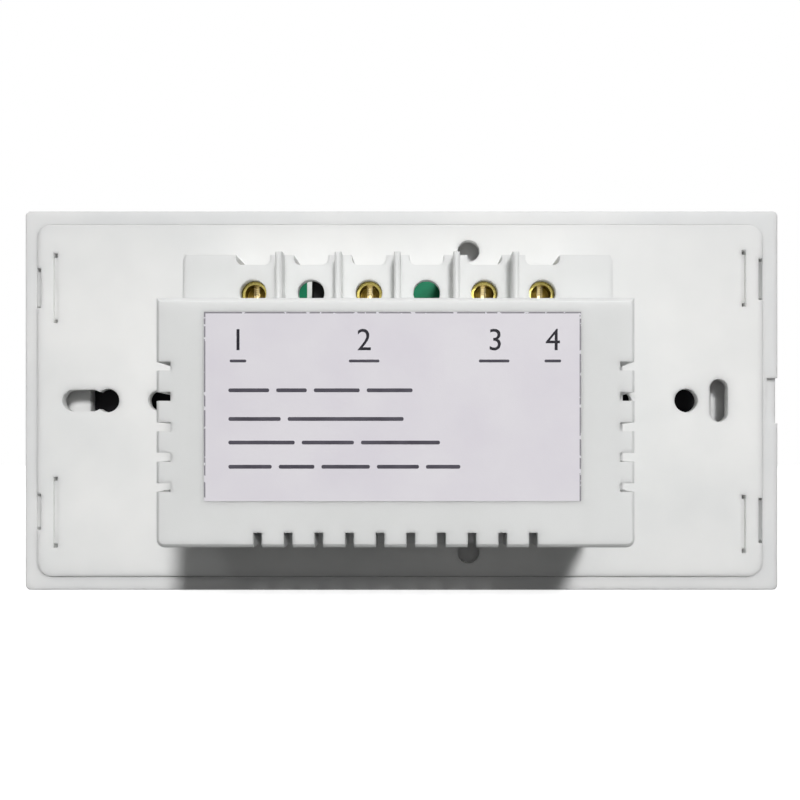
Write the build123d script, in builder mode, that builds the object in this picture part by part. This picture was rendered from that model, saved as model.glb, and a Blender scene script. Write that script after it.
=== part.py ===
from build123d import *
import os

# Touch switch for a wall box, lying in its wall position. Millimetres.
# +X runs along the long side, +Z is up, and the glass faces -Y. The back of the
# mounting plate, which lies on the wall, is the plane Y = 0, and the rear housing
# reaches into the wall box towards +Y. The origin is the middle of that plane.

os.makedirs("parts", exist_ok=True)


def at(y):
    """A sketching plane across Y: sketch x is X, sketch y is Z, and it extrudes to the front."""
    return Plane.XZ.offset(-y)


# Front panel: glass, printed back, and a white frame with a skirt
panel_len = 146.0
panel_high = 73.5
panel_depth = 10.0
panel_corner_r = 1.0
wall_air = 0.3
skirt_left = 2.2
skirt_right = 2.9
skirt_top = 2.55
glass_t = 2.85
glass_bevel = 0.6
film_t = 0.15
frame_wall_t = 2.4
frame_window_len = 123.6
frame_window_high = 53.0
frame_window_r = 3.0
panel_gap = 0.15
pry_len = 8.8
pry_wide = 2.0
pry_deep = 1.0

# Mounting plate, which the skirt closes over
plate_t = 2.0
plate_corner_r = 2.8
rim_t = 1.4
rim_gap = 0.1
plate_len = panel_len - skirt_left - skirt_right - 2 * panel_gap
plate_high = panel_high - 2 * skirt_top - 2 * panel_gap
panel_x = (skirt_left - skirt_right) / 2

# Screw holes in the plate
side_slot_r = 2.0
side_slot_len = 5.8
side_slot_space = 87.9
side_slot_mid = 1.9
end_hole_x = -55.55
end_hole_r = 2.28
key_hole_x = 56.65
key_slot_in = 59.52
key_slot_out = 63.35
key_slot_r = 2.1
upright_slot_x = -61.9
upright_slot_r = 1.77
upright_slot_len = 8.32
column_x = -13.35
column_space = 58.5
column_mid = -0.25
column_hole_r = 2.1

# Snap arms at the short ends: a hinge groove behind each and a notch for the panel's nub
slit_inset = 3.55
slit_w = 0.8
slit_deep = 0.6
slit_end = 0.8
snap_left_top = (28.6, 15.0)
snap_left_low = (-14.8, -28.6)
snap_right_top = (29.2, 18.2)
snap_right_low = (-18.3, -29.6)
notch_left_top = (25.7, 17.9)
notch_left_low = (-18.1, -25.1)
notch_right_top = (27.6, 19.5)
notch_right_low = (-18.9, -27.7)
notch_deep = 0.7
nub_out = 0.5
nub_high = 1.4
nub_rise = 0.3
nub_end_gap = 0.5

# Rear housing
house_end = 12.3
house_high = 49.5
house_depth = 30.0
house_wall = 1.8
house_corner_low_r = 1.3
house_corner_top = 0.5
house_edge = 0.6
house_fit = 0.1
flange_t = 1.0
flange_side = 1.0
flange_top = 1.5
shelf_y = 15.0
shelf_high = 10.15

# Terminals along the shelf
term_count = 6
term_pitch = 10.16
term_inset = 6.65
access_r = 2.35
entry_w = 6.0
entry_lip = 1.75
entry_round = 0.9
entry_bow = 0.3
entry_y = 4.5
fin_t = 1.1
fin_out = 4.0
fin_drop = 0.15
fin_corner = 0.8
fin_edge = 0.42
cage_w = 7.4
cage_high = 8.0
cage_depth = 8.0
cage_wall = 1.0
cage_roof = 1.2
collar_r = 2.2
collar_len = 1.4
screw_r = 1.75
screw_fit = 0.05
screw_len = 4.25
screw_below = 1.6
screw_slot_w = 0.8
screw_slot_deep = 0.9
clamp_t = 1.0
clamp_fit = 0.1
clamp_inset = 0.5
clamp_gap = 0.05

# Vents
low_vent_count = 10
low_vent_pitch = 4.82
low_vent_w = 1.35
low_vent_high = 2.35
low_vent_len = 6.0
side_vent_count = 5
side_vent_pitch = 4.78
side_vent_mid = -5.73
side_vent_w = 1.4
side_vent_high = 2.36
side_vent_len = 8.0

# Boards, inner cover and their screws
board_gap_x = 0.4
board_gap_z = 0.45
board_t = 1.6
board_y = 3.6
boss_r = 2.7
boss_inset_x = 2.9
boss_inset_z = 2.75
boss_gap = 0.3
pilot_len = 9.0
ledge_out = 1.2
ledge_len = 6.0
ledge_deep = 3.0
ledge_z = 8.0
cover_t = 1.2
cover_y = -0.3
cover_fit = 0.2
pad_len = 5.0
pad_w = 2.0
pad_inset = 1.4
cover_slot_w = 1.6
cover_slot_len = 14.0
tapper_r = 1.25
tapper_len = 8.0
tapper_head_r = 2.3
tapper_head_t = 1.4
tapper_fit = 0.04
tapper_hole_fit = 0.3
cross_w = 0.6
cross_len = 2.6
cross_deep = 0.8

# Plug between the two boards
pin_count = 8
pin_pitch = 2.54
pin_w = 0.64
pin_reach = 3.9
plug_z = -14.0
plug_w = 2.5
plug_block_t = 1.4
socket_len = 5.0
socket_hole = 0.9
socket_hole_len = 4.3
window_gap = 0.8

# Touch board and what it carries
touch_len = 60.0
touch_high = 48.0
touch_t = 1.2
pad_t = 1.1
key_x = 15.0
key_pad_r = 4.5
key_ring_in = 5.5
key_ring_out = 7.0
ring_sides = 36
strip_w = 4.0
strip_inset = 2.0
radio_len = 16.0
radio_high = 24.0
radio_t = 0.8
radio_x = -18.0
radio_z = 6.0
can_len = 12.0
can_high = 15.0
can_t = 2.0
shield_edge = 0.4
chip_w = 5.0
chip_len = 4.0
chip_t = 1.5
chip_x = 12.0

# Parts on the power board
relay_len = 20.0
relay_w = 10.2
relay_high = 15.4
relay_base_t = 1.6
relay_edge = 0.4
relay_inset = 5.4
relay_z = -3.2
relay_space = 12.4
core_len = 14.0
core_high = 15.0
core_w = 5.0
core_leg = 2.4
core_mid = 4.0
core_yoke = 2.4
core_x = -7.0
core_z = -1.5
bobbin_flange_t = 0.8
bobbin_wall = 0.5
bobbin_gap = 0.15
bobbin_w = 11.4
winding_w = 9.8
can_in_r = 5.0
can_in_len = 17.0
can_in_inset = 2.4
can_in_z = -7.5
can_out_r = 4.0
can_out_len = 12.0
can_out_x = -23.0
can_out_z = 4.5
choke_r = 4.0
choke_len = 9.0
choke_neck_r = 2.4
choke_flange = 1.2
choke_inset = 0.5
choke_x = -20.0
choke_low_gap = 1.75
varistor_r = 4.5
varistor_t = 4.0
varistor_inset = 1.5
varistor_z = 8.0
varistor_lift = 1.0
varistor_foot = 1.4
fuse_w = 5.0
fuse_high = 7.6
fuse_t = 8.0
fuse_aside = 2.2
bridge_len = 8.0
bridge_high = 6.4
bridge_t = 3.0
bridge_x = -8.0
bridge_low_gap = 2.75
driver_len = 5.0
driver_w = 4.0
driver_t = 1.6
driver_x = 6.0
driver_low_gap = 2.95

# Rating label on the back
label_len = 59.2
label_high = 29.7
label_t = 0.12
label_x = 0.45
label_z = -2.55

# Levels along Y, worked out from the sizes above
skirt_y = -wall_air
glass_y = -panel_depth + glass_t
frame_y = glass_y + film_t
frame_back_y = frame_y + frame_wall_t
rim_front_y = frame_back_y + rim_gap
touch_front_y = frame_y + pad_t
touch_y = touch_front_y + touch_t
flange_y = -plate_t
flange_front_y = flange_y - flange_t
cover_front_y = cover_y - cover_t
board_front_y = board_y - board_t
shelf_in_y = shelf_y - house_wall
back_in_y = house_depth - house_wall
cage_y = board_y + cage_depth
collar_y = cage_y + collar_len
screw_top_y = collar_y - screw_below
screw_low_y = screw_top_y - screw_len
clamp_y = screw_low_y - clamp_gap
term_x = [(term_count - 1) / 2 * term_pitch - n * term_pitch for n in range(term_count)]
term_z = house_high / 2 - term_inset
house_len = 2 * (term_x[0] + house_end)
half_in_x = house_len / 2 - house_wall
half_in_z = house_high / 2 - house_wall
riser_z = house_high / 2 - shelf_high
board_len = 2 * (half_in_x - board_gap_x)
board_high = 2 * (half_in_z - board_gap_z)
boss_x = half_in_x - boss_inset_x
boss_low = boss_inset_z - half_in_z
boss_top = half_in_z - boss_inset_z
relay_x = half_in_x - relay_inset - relay_len / 2
can_in_x = can_in_inset + can_in_r - half_in_x
varistor_x = varistor_inset + varistor_t / 2 - half_in_x
fuse_x = term_x[1] - fuse_aside
choke_z = choke_low_gap + choke_r - half_in_z
bridge_z = bridge_low_gap + bridge_high / 2 - half_in_z
driver_z = driver_low_gap + driver_w / 2 - half_in_z
fitted = {1: term_x[0], 3: term_x[2], 5: term_x[4], 6: term_x[5]}
screw_spots = [(x, z) for x in (-boss_x, boss_x) for z in (boss_low, boss_top)]


# Glass: one sheet with polished, bevelled edges
with BuildPart() as glass_panel:
    with BuildSketch(at(glass_y)):
        with Locations((panel_x, 0)):
            RectangleRounded(panel_len, panel_high, panel_corner_r)
    extrude(amount=glass_t)
    chamfer(glass_panel.faces().sort_by(Axis.Y)[0].edges(), glass_bevel)
glass_panel.part.label = "glass_panel"

# Black printed film behind the glass
with BuildPart() as back_film:
    with BuildSketch(at(frame_y)):
        with Locations((panel_x, 0)):
            RectangleRounded(panel_len, panel_high, panel_corner_r)
    extrude(amount=film_t)
back_film.part.label = "back_film"

# White frame: a flat ring behind the glass and a skirt that closes over the plate
skirt_in_len = plate_len + 2 * panel_gap
skirt_in_high = plate_high + 2 * panel_gap
with BuildPart() as panel_frame:
    with BuildSketch(at(skirt_y)):
        with Locations((panel_x, 0)):
            RectangleRounded(panel_len, panel_high, panel_corner_r)
    extrude(amount=skirt_y - frame_y)
    with BuildSketch(at(skirt_y)):
        RectangleRounded(skirt_in_len, skirt_in_high, plate_corner_r + panel_gap)
    extrude(amount=skirt_y - frame_back_y, mode=Mode.SUBTRACT)
    with BuildSketch(at(frame_back_y)):
        RectangleRounded(frame_window_len, frame_window_high, frame_window_r)
    extrude(amount=frame_wall_t, mode=Mode.SUBTRACT)
    # screwdriver notch in the middle of one short side
    with BuildSketch(at(skirt_y)):
        with Locations((panel_x - panel_len / 2, 0)):
            Rectangle(2 * pry_wide, pry_len)
    extrude(amount=pry_deep, mode=Mode.SUBTRACT)
    # wedge nubs on the inside of the short walls
    for side, (top, low) in (
        (1, notch_left_top),
        (1, notch_left_low),
        (-1, notch_right_top),
        (-1, notch_right_low),
    ):
        wall_x = side * skirt_in_len / 2
        nub_y = skirt_y - nub_rise
        with BuildSketch(Plane.XY.offset(low + nub_end_gap)):
            with BuildLine():
                Polyline(
                    (wall_x + side * panel_gap, nub_y),
                    (wall_x, nub_y),
                    (wall_x - side * nub_out, nub_y - nub_high * 2 / 3),
                    (wall_x, nub_y - nub_high),
                    (wall_x + side * panel_gap, nub_y - nub_high),
                    close=True,
                )
            make_face()
        extrude(amount=top - low - 2 * nub_end_gap)
panel_frame.part.label = "panel_frame"

# Mounting plate with its upright rim, screw holes, hinge grooves and nub notches
window_len = house_len + 2 * house_fit
window_high = house_high + 2 * house_fit
slit_x = plate_len / 2 - slit_inset
with BuildPart() as mounting_plate:
    with BuildSketch(at(0)):
        RectangleRounded(plate_len, plate_high, plate_corner_r)
    extrude(amount=plate_t)
    with BuildSketch(at(-plate_t)):
        RectangleRounded(plate_len, plate_high, plate_corner_r)
        RectangleRounded(
            plate_len - 2 * rim_t,
            plate_high - 2 * rim_t,
            plate_corner_r - rim_t,
            mode=Mode.SUBTRACT,
        )
    extrude(amount=-plate_t - rim_front_y)
    with BuildSketch(at(0)):
        Rectangle(window_len, window_high)
    extrude(amount=plate_t, mode=Mode.SUBTRACT)
    with BuildSketch(at(0)) as screw_holes:
        for side in (-1, 1):
            with Locations((side_slot_mid + side * side_slot_space / 2, 0)):
                SlotOverall(side_slot_len, 2 * side_slot_r)
        with Locations((end_hole_x, 0), (key_hole_x, 0)):
            Circle(end_hole_r)
        with Locations(((key_slot_in + key_slot_out) / 2, 0)):
            SlotCenterToCenter(key_slot_out - key_slot_in, 2 * key_slot_r)
        with Locations((upright_slot_x, 0)):
            SlotOverall(upright_slot_len, 2 * upright_slot_r, rotation=90)
        for side in (-1, 1):
            with Locations((column_x, column_mid + side * column_space / 2)):
                Circle(column_hole_r)
    extrude(amount=plate_t, mode=Mode.SUBTRACT)
    with BuildSketch(at(0)) as slits:
        for side, (top, low) in (
            (1, snap_left_top),
            (1, snap_left_low),
            (-1, snap_right_top),
            (-1, snap_right_low),
        ):
            with Locations((side * slit_x, (top + low) / 2)):
                Rectangle(slit_w, top - low)
    extrude(amount=slit_deep, mode=Mode.SUBTRACT)
    with BuildSketch(at(0)) as slit_ends:
        for side, (top, low) in (
            (1, snap_left_top),
            (1, snap_left_low),
            (-1, snap_right_top),
            (-1, snap_right_low),
        ):
            with Locations(
                (side * slit_x, top - slit_end / 2),
                (side * slit_x, low + slit_end / 2),
            ):
                Rectangle(slit_w, slit_end)
    extrude(amount=plate_t, mode=Mode.SUBTRACT)
    with BuildSketch(at(0)) as notches:
        for side, (top, low) in (
            (1, notch_left_top),
            (1, notch_left_low),
            (-1, notch_right_top),
            (-1, notch_right_low),
        ):
            with Locations((side * plate_len / 2, (top + low) / 2)):
                Rectangle(2 * notch_deep, top - low)
    extrude(amount=-rim_front_y, mode=Mode.SUBTRACT)
mounting_plate.part.label = "mounting_plate"

# Rear housing: a deep box with a lower terminal shelf along its top
with BuildPart() as rear_housing:
    with BuildSketch(Plane.YZ) as outer_profile:
        with BuildLine():
            Polyline(
                (flange_y, -house_high / 2),
                (house_depth, -house_high / 2),
                (house_depth, riser_z),
                (shelf_y, riser_z),
                (shelf_y, house_high / 2),
                (flange_y, house_high / 2),
                close=True,
            )
        make_face()
    extrude(amount=house_len / 2, both=True)
    long_edges = rear_housing.edges().filter_by(Axis.Y)
    fillet(long_edges.group_by(Axis.Z)[0], house_corner_low_r)
    for level in (-1, -2):
        long_edges = rear_housing.edges().filter_by(Axis.Y).group_by(Axis.Z)
        chamfer(long_edges[level], house_corner_top)
    back = rear_housing.faces().filter_by(Axis.Y).sort_by(Axis.Y)[-1]
    chamfer(back.edges(), house_edge)
    with BuildSketch(at(flange_y)):
        Rectangle(house_len + 2 * flange_side, house_high + 2 * flange_top)
    extrude(amount=flange_t)
    with BuildSketch(Plane.YZ) as inner_profile:
        with BuildLine():
            Polyline(
                (flange_front_y, -half_in_z),
                (back_in_y, -half_in_z),
                (back_in_y, riser_z - house_wall),
                (shelf_in_y, riser_z - house_wall),
                (shelf_in_y, half_in_z),
                (flange_front_y, half_in_z),
                close=True,
            )
        make_face()
    extrude(amount=half_in_x, both=True, mode=Mode.SUBTRACT)
    # corner bosses, each joined to its two walls
    with BuildSketch(at(back_in_y)) as low_bosses:
        for side in (-1, 1):
            with Locations((side * boss_x, boss_low)):
                Circle(boss_r)
            with Locations((side * (boss_x + half_in_x) / 2, boss_low)):
                Rectangle(half_in_x - boss_x, 2 * boss_r)
            with Locations((side * boss_x, (boss_low - half_in_z) / 2)):
                Rectangle(2 * boss_r, half_in_z + boss_low)
    extrude(amount=back_in_y - cover_y)
    with BuildSketch(at(shelf_in_y)) as top_bosses:
        for side in (-1, 1):
            with Locations((side * boss_x, boss_top)):
                Circle(boss_r)
            with Locations((side * (boss_x + half_in_x) / 2, boss_top)):
                Rectangle(half_in_x - boss_x, 2 * boss_r)
            with Locations((side * boss_x, (boss_top + half_in_z) / 2)):
                Rectangle(2 * boss_r, half_in_z - boss_top)
    extrude(amount=shelf_in_y - cover_y)
    with BuildSketch(at(cover_y + pilot_len)):
        with Locations(*screw_spots):
            Circle(tapper_r + tapper_fit)
    extrude(amount=pilot_len, mode=Mode.SUBTRACT)
    # ledges under the board
    with BuildSketch(at(board_y + ledge_deep)):
        for side in (-1, 1):
            with Locations(
                (side * (half_in_x - ledge_out / 2), ledge_z),
                (side * (half_in_x - ledge_out / 2), -ledge_z),
            ):
                Rectangle(ledge_out, ledge_len)
    extrude(amount=ledge_deep)
    # screwdriver holes in the shelf
    with BuildSketch(at(shelf_y)):
        with Locations(*[(x, term_z) for x in term_x]):
            Circle(access_r)
    extrude(amount=house_wall, mode=Mode.SUBTRACT)
    # wire entries: a shallow arched lip in the shelf, open right through the wall below
    with BuildSketch(at(shelf_y)) as entry_lips:
        for x in term_x:
            lip_z = house_high / 2 - entry_lip
            with BuildLine():
                Polyline(
                    (x - entry_w / 2, lip_z + entry_round),
                    (x - entry_w / 2 + entry_bow, lip_z + entry_bow),
                    (x - entry_w / 2 + entry_round, lip_z),
                    (x + entry_w / 2 - entry_round, lip_z),
                    (x + entry_w / 2 - entry_bow, lip_z + entry_bow),
                    (x + entry_w / 2, lip_z + entry_round),
                    (x + entry_w / 2, house_high / 2 + entry_lip),
                    (x - entry_w / 2, house_high / 2 + entry_lip),
                    close=True,
                )
            make_face()
    extrude(amount=shelf_y - entry_y, mode=Mode.SUBTRACT)
    with BuildSketch(at(shelf_in_y)):
        with Locations(*[(x, house_high / 2 - house_wall / 2) for x in term_x]):
            Rectangle(entry_w, 2 * house_wall)
    extrude(amount=shelf_in_y - entry_y, mode=Mode.SUBTRACT)
    # barrier fins between the terminals
    fin_low = riser_z - house_wall / 2
    fin_top = house_high / 2 - fin_drop
    fin_mid = (fin_low + fin_top) / 2
    for x_left, x_right in zip(term_x[:-1], term_x[1:]):
        with BuildSketch(Plane.YZ.offset((x_left + x_right) / 2 - fin_t / 2)):
            with BuildLine():
                Polyline(
                    (shelf_y - house_wall / 2, fin_low),
                    (shelf_y + fin_out, fin_low),
                    (shelf_y + fin_out, fin_top - fin_corner),
                    (shelf_y + fin_out - fin_corner / 4, fin_top - fin_corner / 4),
                    (shelf_y + fin_out - fin_corner, fin_top),
                    (shelf_y - house_wall / 2, fin_top),
                    close=True,
                )
            make_face()
        extrude(amount=fin_t)
    ridge_y = shelf_y + fin_out
    upright = rear_housing.edges().filter_by(Axis.Z)
    chamfer(upright.filter_by_position(Axis.Y, ridge_y - fin_edge / 9, ridge_y + fin_edge / 9), fin_edge)
    # vents through the lower edge and both side edges of the back
    with BuildSketch(at(house_depth)):
        with Locations((0, -house_high / 2)):
            with GridLocations(low_vent_pitch, 0, low_vent_count, 1):
                Rectangle(low_vent_w, 2 * low_vent_high)
    extrude(amount=low_vent_len, mode=Mode.SUBTRACT)
    with BuildSketch(at(house_depth)):
        with Locations((-house_len / 2, side_vent_mid), (house_len / 2, side_vent_mid)):
            with GridLocations(0, side_vent_pitch, 1, side_vent_count):
                Rectangle(2 * side_vent_high, side_vent_w)
    extrude(amount=side_vent_len, mode=Mode.SUBTRACT)
rear_housing.part.label = "rear_housing"

# Rating label
with BuildPart() as label:
    with BuildSketch(at(house_depth + label_t)):
        with Locations((label_x, label_z)):
            Rectangle(label_len, label_high)
    extrude(amount=label_t)
label.part.label = "label"

# Inner cover in the mouth of the housing, with pads that hold the board down
plug_len = pin_count * pin_pitch
with BuildPart() as inner_cover:
    with BuildSketch(at(cover_y)):
        Rectangle(2 * (half_in_x - cover_fit), 2 * (half_in_z - cover_fit))
        with Locations(*screw_spots):
            Circle(tapper_r + tapper_hole_fit, mode=Mode.SUBTRACT)
        with Locations((0, plug_z)):
            Rectangle(plug_len + 2 * window_gap, plug_w + 2 * window_gap, mode=Mode.SUBTRACT)
        with Locations((0, -plug_z)):
            with GridLocations(0, 2 * cover_slot_w, 1, 3):
                Rectangle(cover_slot_len, cover_slot_w, mode=Mode.SUBTRACT)
    extrude(amount=cover_t)
    with BuildSketch(at(board_front_y)):
        for side in (-1, 1):
            with Locations(
                (side * (half_in_x - pad_inset - pad_w / 2), ledge_z),
                (side * (half_in_x - pad_inset - pad_w / 2), -ledge_z),
            ):
                Rectangle(pad_w, pad_len)
    extrude(amount=board_front_y - cover_y)
inner_cover.part.label = "inner_cover"

# Four self-tapping screws through the cover into the bosses
with BuildPart() as cover_screws:
    with BuildSketch(at(cover_front_y + tapper_len)):
        with Locations(*screw_spots):
            Circle(tapper_r)
    extrude(amount=tapper_len)
    with BuildSketch(at(cover_front_y)):
        with Locations(*screw_spots):
            Circle(tapper_head_r)
    extrude(amount=tapper_head_t)
    with BuildSketch(at(cover_front_y - tapper_head_t + cross_deep)):
        with Locations(*screw_spots):
            Rectangle(cross_len, cross_w)
            Rectangle(cross_w, cross_len)
    extrude(amount=cross_deep, mode=Mode.SUBTRACT)
cover_screws.part.label = "cover_screws"

# Power board, cut away at the corner bosses
with BuildPart() as power_board:
    with BuildSketch(at(board_y)):
        Rectangle(board_len, board_high)
        for x, z in screw_spots:
            side_x = 1 if x > 0 else -1
            side_z = 1 if z > 0 else -1
            cut_x = abs(x) - boss_r - boss_gap
            cut_z = abs(z) - boss_r - boss_gap
            with Locations((side_x * (cut_x + board_len / 2) / 2, side_z * (cut_z + board_high / 2) / 2)):
                Rectangle(board_len / 2 - cut_x, board_high / 2 - cut_z, mode=Mode.SUBTRACT)
    extrude(amount=board_t)
power_board.part.label = "power_board"

# Brass terminal cages: a square tube open to the wire, with a threaded collar on its roof
with BuildPart() as terminal_cages:
    for x in fitted.values():
        with BuildSketch(at(cage_y)):
            with Locations((x, term_z)):
                Rectangle(cage_w, cage_high)
        extrude(amount=cage_depth)
        with BuildSketch(at(collar_y)):
            with Locations((x, term_z)):
                Circle(collar_r)
        extrude(amount=collar_len)
        with BuildSketch(at(cage_y - cage_roof)):
            with Locations((x, term_z)):
                Rectangle(cage_w - 2 * cage_wall, cage_high)
        extrude(amount=cage_depth - cage_roof - cage_wall, mode=Mode.SUBTRACT)
        with BuildSketch(at(collar_y)):
            with Locations((x, term_z)):
                Circle(screw_r + screw_fit)
        extrude(amount=collar_len + cage_roof, mode=Mode.SUBTRACT)
terminal_cages.part.label = "terminal_cages"

# Pressure plate and slotted screw of each fitted terminal
clamps = {}
screws = {}
for number, x in fitted.items():
    with BuildPart() as clamp:
        with BuildSketch(at(clamp_y)):
            with Locations((x, term_z)):
                Rectangle(cage_w - 2 * cage_wall - 2 * clamp_fit, cage_high - 2 * clamp_inset)
        extrude(amount=clamp_t)
        lead_in = clamp.edges().filter_by(Axis.X).group_by(Axis.Y)[0]
        chamfer(lead_in, clamp_t / 3)
    clamp.part.label = f"clamp_plate_{number}"
    clamps[number] = clamp
    with BuildPart() as screw:
        with BuildSketch(at(screw_top_y)):
            with Locations((x, term_z)):
                Circle(screw_r)
        extrude(amount=screw_len)
        with BuildSketch(at(screw_top_y)):
            with Locations((x, term_z)):
                Rectangle(screw_slot_w, 2 * screw_r)
        extrude(amount=screw_slot_deep, mode=Mode.SUBTRACT)
    screw.part.label = f"terminal_screw_{number}"
    screws[number] = screw

# Two relays, one for each key
relay_spots = [(relay_x, relay_z + side * relay_space / 2) for side in (-1, 1)]
with BuildPart() as relay_bases:
    with BuildSketch(at(board_y + relay_base_t)):
        with Locations(*relay_spots):
            Rectangle(relay_len, relay_w)
    extrude(amount=relay_base_t)
relay_bases.part.label = "relay_bases"

with BuildPart() as relay_cases:
    with BuildSketch(at(board_y + relay_high)):
        with Locations(*relay_spots):
            Rectangle(relay_len, relay_w)
    extrude(amount=relay_high - relay_base_t)
    chamfer(relay_cases.edges().filter_by(Axis.Y), relay_edge)
    chamfer(relay_cases.faces().filter_by(Axis.Y).group_by(Axis.Y)[-1].edges(), relay_edge)
relay_cases.part.label = "relay_cases"

# Transformer: a ferrite frame with a middle leg, a flanged bobbin and its winding
core_window = (core_len - 2 * core_leg - core_mid) / 2
window_x = (core_mid + core_window) / 2
core_mid_y = board_y + core_high / 2
spool_low_y = board_y + core_yoke + bobbin_gap
spool_top_y = board_y + core_high - core_yoke - bobbin_gap
neck_x = core_mid + 2 * bobbin_gap
neck_z = core_w + 2 * bobbin_gap
spool_x = core_mid + 2 * core_window - 2 * bobbin_gap
with BuildPart() as transformer_core:
    with BuildSketch(Plane.XY.offset(core_z - core_w / 2)):
        with Locations((core_x, core_mid_y)):
            Rectangle(core_len, core_high)
        with Locations((core_x - window_x, core_mid_y), (core_x + window_x, core_mid_y)):
            Rectangle(core_window, core_high - 2 * core_yoke, mode=Mode.SUBTRACT)
    extrude(amount=core_w)
transformer_core.part.label = "transformer_core"

with BuildPart() as transformer_bobbin:
    for top in (spool_low_y + bobbin_flange_t, spool_top_y):
        with BuildSketch(at(top)):
            with Locations((core_x, core_z)):
                Rectangle(spool_x, bobbin_w)
                Rectangle(neck_x, neck_z, mode=Mode.SUBTRACT)
        extrude(amount=bobbin_flange_t)
    with BuildSketch(at(spool_top_y)):
        with Locations((core_x, core_z)):
            Rectangle(neck_x + 2 * bobbin_wall, neck_z + 2 * bobbin_wall)
            Rectangle(neck_x, neck_z, mode=Mode.SUBTRACT)
    extrude(amount=spool_top_y - spool_low_y)
transformer_bobbin.part.label = "transformer_bobbin"

winding_x = spool_x - 2 * bobbin_gap
with BuildPart() as transformer_winding:
    with BuildSketch(at(spool_top_y - bobbin_flange_t)):
        with Locations((core_x, core_z)):
            Rectangle(winding_x, winding_w)
            Rectangle(neck_x + 2 * bobbin_wall, neck_z + 2 * bobbin_wall, mode=Mode.SUBTRACT)
    extrude(amount=spool_top_y - spool_low_y - 2 * bobbin_flange_t)
transformer_winding.part.label = "transformer_winding"

# Electrolytic capacitors: two cans
with BuildPart() as capacitors:
    for can_x, can_z, can_r, can_len_y in (
        (can_in_x, can_in_z, can_in_r, can_in_len),
        (can_out_x, can_out_z, can_out_r, can_out_len),
    ):
        with BuildSketch(at(board_y + can_len_y)):
            with Locations((can_x, can_z)):
                Circle(can_r)
        extrude(amount=can_len_y)
capacitors.part.label = "capacitors"

# Choke: a ferrite drum core and its copper turns
choke_low_y = board_y + choke_flange
choke_top_y = board_y + choke_len
with BuildPart() as choke_core:
    with BuildSketch(at(choke_low_y)):
        with Locations((choke_x, choke_z)):
            Circle(choke_r)
    extrude(amount=choke_flange)
    with BuildSketch(at(choke_top_y)):
        with Locations((choke_x, choke_z)):
            Circle(choke_neck_r)
    extrude(amount=choke_len - choke_flange)
    with BuildSketch(at(choke_top_y)):
        with Locations((choke_x, choke_z)):
            Circle(choke_r)
    extrude(amount=choke_flange)
choke_core.part.label = "choke_core"

with BuildPart() as choke_winding:
    with BuildSketch(at(choke_top_y - choke_flange)):
        with Locations((choke_x, choke_z)):
            Circle(choke_r - choke_inset)
            Circle(choke_neck_r, mode=Mode.SUBTRACT)
    extrude(amount=choke_len - 2 * choke_flange)
choke_winding.part.label = "choke_winding"

# Varistor: a dipped disc standing on edge over a small foot
with BuildPart() as varistor:
    disc_y = board_y + varistor_lift + varistor_r
    with BuildSketch(Plane.YZ.offset(varistor_x - varistor_t / 2)):
        with Locations((disc_y, varistor_z)):
            Circle(varistor_r)
    extrude(amount=varistor_t)
    with BuildSketch(at(disc_y)):
        with Locations((varistor_x, varistor_z)):
            Rectangle(varistor_foot, varistor_r)
    extrude(amount=disc_y - board_y)
varistor.part.label = "varistor"

# Boxed fuse, bridge rectifier and driver chip
with BuildPart() as fuse:
    with BuildSketch(at(board_y + fuse_t)):
        with Locations((fuse_x, term_z)):
            Rectangle(fuse_w, fuse_high)
    extrude(amount=fuse_t)
    chamfer(fuse.faces().filter_by(Axis.Y).sort_by(Axis.Y)[-1].edges(), relay_edge)
fuse.part.label = "fuse"

with BuildPart() as bridge_rectifier:
    with BuildSketch(at(board_y + bridge_t)):
        with Locations((bridge_x, bridge_z)):
            Rectangle(bridge_len, bridge_high)
    extrude(amount=bridge_t)
    chamfer(bridge_rectifier.edges().filter_by(Axis.Z).group_by(Axis.Y)[-1], bridge_t / 5)
bridge_rectifier.part.label = "bridge_rectifier"

with BuildPart() as power_chip:
    with BuildSketch(at(board_y + driver_t)):
        with Locations((driver_x, driver_z)):
            Rectangle(driver_len, driver_w)
    extrude(amount=driver_t)
    chamfer(power_chip.edges().filter_by(Axis.X).group_by(Axis.Y)[-1], driver_t / 4)
power_chip.part.label = "power_chip"

# Socket on the front of the power board, and the plug that enters it
socket_front_y = board_front_y - socket_len
with BuildPart() as socket:
    with BuildSketch(at(board_front_y)):
        with Locations((0, plug_z)):
            Rectangle(plug_len, plug_w)
    extrude(amount=socket_len)
    with BuildSketch(at(socket_front_y + socket_hole_len)):
        with Locations((0, plug_z)):
            with GridLocations(pin_pitch, 0, pin_count, 1):
                Rectangle(socket_hole, socket_hole)
    extrude(amount=socket_hole_len, mode=Mode.SUBTRACT)
socket.part.label = "socket"

with BuildPart() as plug_block:
    with BuildSketch(at(touch_y + plug_block_t)):
        with Locations((0, plug_z)):
            Rectangle(plug_len, plug_w)
            with GridLocations(pin_pitch, 0, pin_count, 1):
                Rectangle(pin_w, pin_w, mode=Mode.SUBTRACT)
    extrude(amount=plug_block_t)
plug_block.part.label = "plug_block"

with BuildPart() as plug_pins:
    with BuildSketch(at(socket_front_y + pin_reach)):
        with Locations((0, plug_z)):
            with GridLocations(pin_pitch, 0, pin_count, 1):
                Rectangle(pin_w, pin_w)
    extrude(amount=socket_front_y + pin_reach - touch_y)
plug_pins.part.label = "plug_pins"

# Touch board behind the film, on its pads, light rings and adhesive strips
with BuildPart() as touch_board:
    with BuildSketch(at(touch_y)):
        Rectangle(touch_len, touch_high)
    extrude(amount=touch_t)
touch_board.part.label = "touch_board"

with BuildPart() as touch_pads:
    with BuildSketch(at(touch_front_y)):
        with Locations((-key_x, 0), (key_x, 0)):
            RegularPolygon(key_pad_r, ring_sides)
    extrude(amount=pad_t)
touch_pads.part.label = "touch_pads"

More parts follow.
